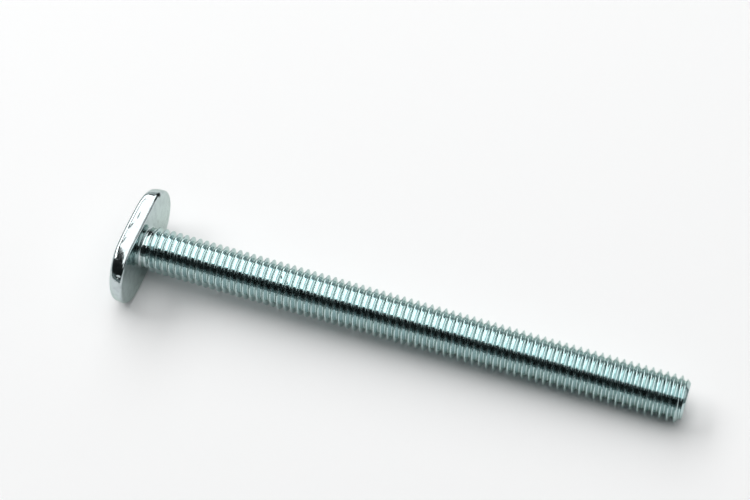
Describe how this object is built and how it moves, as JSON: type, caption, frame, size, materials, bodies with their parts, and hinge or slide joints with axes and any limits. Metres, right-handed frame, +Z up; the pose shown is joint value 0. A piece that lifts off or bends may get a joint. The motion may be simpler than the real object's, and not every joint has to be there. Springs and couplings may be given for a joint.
{
  "type": "t slot bolt",
  "caption": "T slot bolt with a flat, round-ended hammer head and a long shank threaded to the head, lying on the side of its head.",
  "frame": {"origin": "centre of the seat, the flat underside of the head, on the bolt's own axis", "axes": "+X is level and runs from the head to the tip, +Y is level along the head's long side, +Z is up. The bolt lies as it comes to rest, on one long side of the head and on the tip, so its own axis dips 1.37 degrees below +X"},
  "size_m": [0.1001, 0.0226, 0.0127],
  "materials": {
    "zinc_plated_steel": "bright blue-white zinc plate over rolled and forged steel, glossy with fine scuffs"
  },
  "bodies": {
    "root": {"t_slot_bolt": "zinc_plated_steel"}
  },
  "joints": []
}
